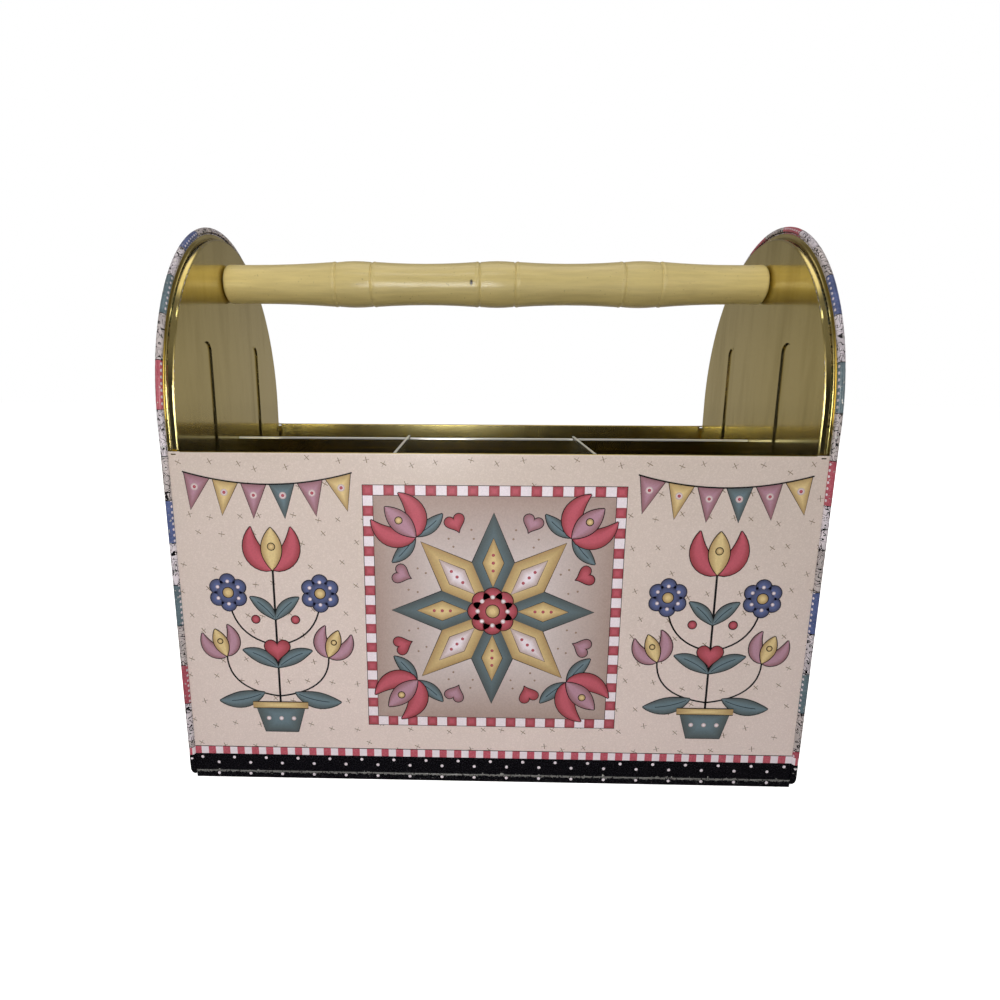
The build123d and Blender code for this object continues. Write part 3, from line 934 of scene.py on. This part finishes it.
# The stage is in metres
FLOOR_REACH = 3.0       # from the middle to the floor's edge
CAMERA_PLACE = (-0.00707, -0.3146, 0.178)
CAMERA_TURN = 0.023     # radians to the left
CAMERA_DIP = 0.208      # radians downwards
CAMERA_ROLL = 0.0039
CAMERA_LENS = 22.4767   # millimetres, on a sensor 36 wide
CAMERA_SHIFT = (0.0375, 0.0026)
PAPER_GLOW = 0.86       # lift of the floor towards white for the camera
ROOM_LIGHT = 0.17       # strength of the room as it lights the part
# Strengths of the floor and the room as shiny surfaces mirror them
MIRRORED_FLOOR = (0.03, 0.36)   # in front of the part and behind it
MIRRORED_SKY = (0.385, 0.23)    # low and high
MIRRORED_DARK = 0.03
MIRRORED_STRIP = 4.0
MIRRORED_TOP = 1.6
# Where they change, in millimetres on the floor and in parts of a unit direction in the room
FLOOR_FADE = (-70.0, 90.0)
SKY_FADE = (0.02, 0.25)
FRONT_FADE = (-0.05, -0.4)
LOW_FADE = (0.6, 0.2)
STRIP_EDGES = (0.5, 0.8)
TOP_FADE = (0.9, 0.97)
# Name, place, turn in degrees, width, height, watts, and whether shiny surfaces mirror it
LAMPS = (
    ("ceiling_panel", (-0.1, -0.85, 1.2), (39, 0, 0), 0.9, 0.35, 6.0, False),
    ("back_panel", (0.0, 1.0, 0.9), (-52, 0, 0), 2.6, 0.5, 8.0, False),
    ("left_panel", (-1.3, 0.35, 0.6), (0, -65, -15), 0.6, 1.0, 2.5, False),
    ("right_panel", (1.3, 0.35, 0.6), (0, 65, 15), 0.6, 1.0, 2.5, False),
    ("front_lamp", (-0.04, -0.33, 0.18), (90, 0, 0), 0.05, 0.12, 0.28, True),
    ("upper_lamp", (-0.04, -0.33, 0.62), (40, 0, 0), 0.08, 0.04, 0.09, True),
)


def add_object(name, data):
    """Link new data to the scene as an object."""
    thing = bpy.data.objects.new(name, data)
    bpy.context.scene.collection.objects.link(thing)
    return thing


def add_lamp(name, place, turn, width, height, power, mirrored):
    """Soft rectangular lamp."""
    data = bpy.data.lights.new(name, "AREA")
    data.shape = "RECTANGLE"
    data.size, data.size_y, data.energy = width, height, power
    lamp = add_object(name, data)
    lamp.location = place
    lamp.rotation_euler = [radians(angle) for angle in turn]
    lamp.visible_glossy = mirrored


def kinds_of_ray(node):
    """Masks of the rays that see the stage, also through a clear sheet, and of those that mirror it."""
    rays = node("LightPath").node.outputs
    through = rays["Is Transmission Ray"]
    seen = node("Math", [rays["Is Camera Ray"], through], operation="MAXIMUM")
    mirrored = node("Math", [rays["Is Glossy Ray"], through], operation="SUBTRACT", use_clamp=True)
    return seen, mirrored


def floor_material(finish):
    """Matt white paper, lifted towards white for the camera. Mirrored it is dark in front, pale behind."""
    material, node = new_material("matt_white_paper")
    seen, mirrored = kinds_of_ray(node)
    lift = node("Math", [seen, PAPER_GLOW], operation="MULTIPLY")
    paper = node("AddShader", [node("BsdfDiffuse", [finish.floor]), node("Emission", [WHITE, lift])])
    y = millimetres(node)[2]
    level = node("MapRange", [y, *FLOOR_FADE, *MIRRORED_FLOOR], interpolation_type="SMOOTHSTEP")
    glow = node("Emission", [WARM, level])
    node("OutputMaterial", {"Surface": node("MixShader", [mirrored, paper, glow])})
    return material


def studio_world():
    """Even pale room. Mirrored it is dark behind the camera between two white strips, and bright above."""
    world = bpy.data.worlds.new("studio")
    world.use_nodes = True
    world.node_tree.nodes.clear()
    node = partial(add, world.node_tree)
    aim = node("TexCoord").node.outputs["Generated"]
    x, y, z = node("SeparateXYZ", [aim]).node.outputs
    front = node("MapRange", [y, *FRONT_FADE], interpolation_type="SMOOTHSTEP")
    low = node("MapRange", [z, *LOW_FADE], interpolation_type="SMOOTHSTEP")
    dark = node("Math", [front, low], operation="MULTIPLY")
    sky = node("MapRange", [z, *SKY_FADE, *MIRRORED_SKY])
    room = node("Mix", [dark, sky, MIRRORED_DARK], data_type="FLOAT")
    strips = within(node, node("Math", [x], operation="ABSOLUTE"), *STRIP_EDGES)
    strips = node("Math", [strips, dark], operation="MULTIPLY")
    room = node("Mix", [strips, room, MIRRORED_STRIP], data_type="FLOAT")
    above = node("MapRange", [z, *TOP_FADE], interpolation_type="SMOOTHSTEP")
    room = node("Mix", [above, room, MIRRORED_TOP], data_type="FLOAT")
    seen, mirrored = kinds_of_ray(node)
    light = node("Mix", [mirrored, ROOM_LIGHT, room], data_type="FLOAT")
    light = node("Mix", [seen, light, 1.0], data_type="FLOAT")
    tint = node("Mix", [mirrored, WHITE, WARM], data_type="RGBA")
    node("OutputWorld", {"Surface": node("Background", [tint, light])})
    return world


class CADDY_OT_stage(bpy.types.Operator):
    """Set the floor, the soft lamps, the room and the camera"""
    bl_idname = "caddy.stage"
    bl_label = "Set the stage"

    def execute(self, context):
        scene = context.scene
        mesh = bpy.data.meshes.new("floor")
        r = FLOOR_REACH
        mesh.from_pydata([(-r, -r, 0), (r, -r, 0), (r, r, 0), (-r, r, 0)], [], [(0, 1, 2, 3)])
        mesh.materials.append(floor_material(scene.caddy_finish))
        add_object("floor", mesh)
        for lamp in LAMPS:
            add_lamp(*lamp)
        scene.world = studio_world()
        camera = add_object("camera", bpy.data.cameras.new("camera"))
        camera.location = CAMERA_PLACE
        aim = Euler((pi / 2 - CAMERA_DIP, 0.0, CAMERA_TURN)).to_matrix()
        camera.rotation_euler = (aim @ Matrix.Rotation(CAMERA_ROLL, 3, "Z")).to_euler()
        camera.data.lens = CAMERA_LENS
        camera.data.shift_x, camera.data.shift_y = CAMERA_SHIFT
        scene.camera = camera
        scene.view_settings.view_transform = "Standard"
        return {"FINISHED"}


OPERATORS = (CADDY_OT_tinplate, CADDY_OT_design, CADDY_OT_grip, CADDY_OT_dividers, CADDY_OT_stage)


class CADDY_PT_sidebar(bpy.types.Panel):
    """Sizes, colours and pieces of the tin caddy"""
    bl_idname = "CADDY_PT_sidebar"
    bl_label = "Tin Caddy"
    bl_space_type = "VIEW_3D"
    bl_region_type = "UI"
    bl_category = "Tin Caddy"

    def draw(self, context):
        for group in (context.scene.caddy_print, context.scene.caddy_finish):
            box = self.layout.box()
            for name in group.__annotations__:
                box.prop(group, name)
        for operator in OPERATORS:
            self.layout.operator(operator.bl_idname)


CLASSES = (CaddyPrint, CaddyFinish) + OPERATORS + (CADDY_PT_sidebar,)


def register():
    for cls in CLASSES:
        bpy.utils.register_class(cls)
    bpy.types.Scene.caddy_print = PointerProperty(type=CaddyPrint)
    bpy.types.Scene.caddy_finish = PointerProperty(type=CaddyFinish)


def unregister():
    del bpy.types.Scene.caddy_finish
    del bpy.types.Scene.caddy_print
    for cls in reversed(CLASSES):
        bpy.utils.unregister_class(cls)


def main():
    """Dress the caddy."""
    register()
    for operator in OPERATORS:
        group, name = operator.bl_idname.split(".")
        getattr(getattr(bpy.ops, group), name)()


if __name__ == "__main__":
    main()
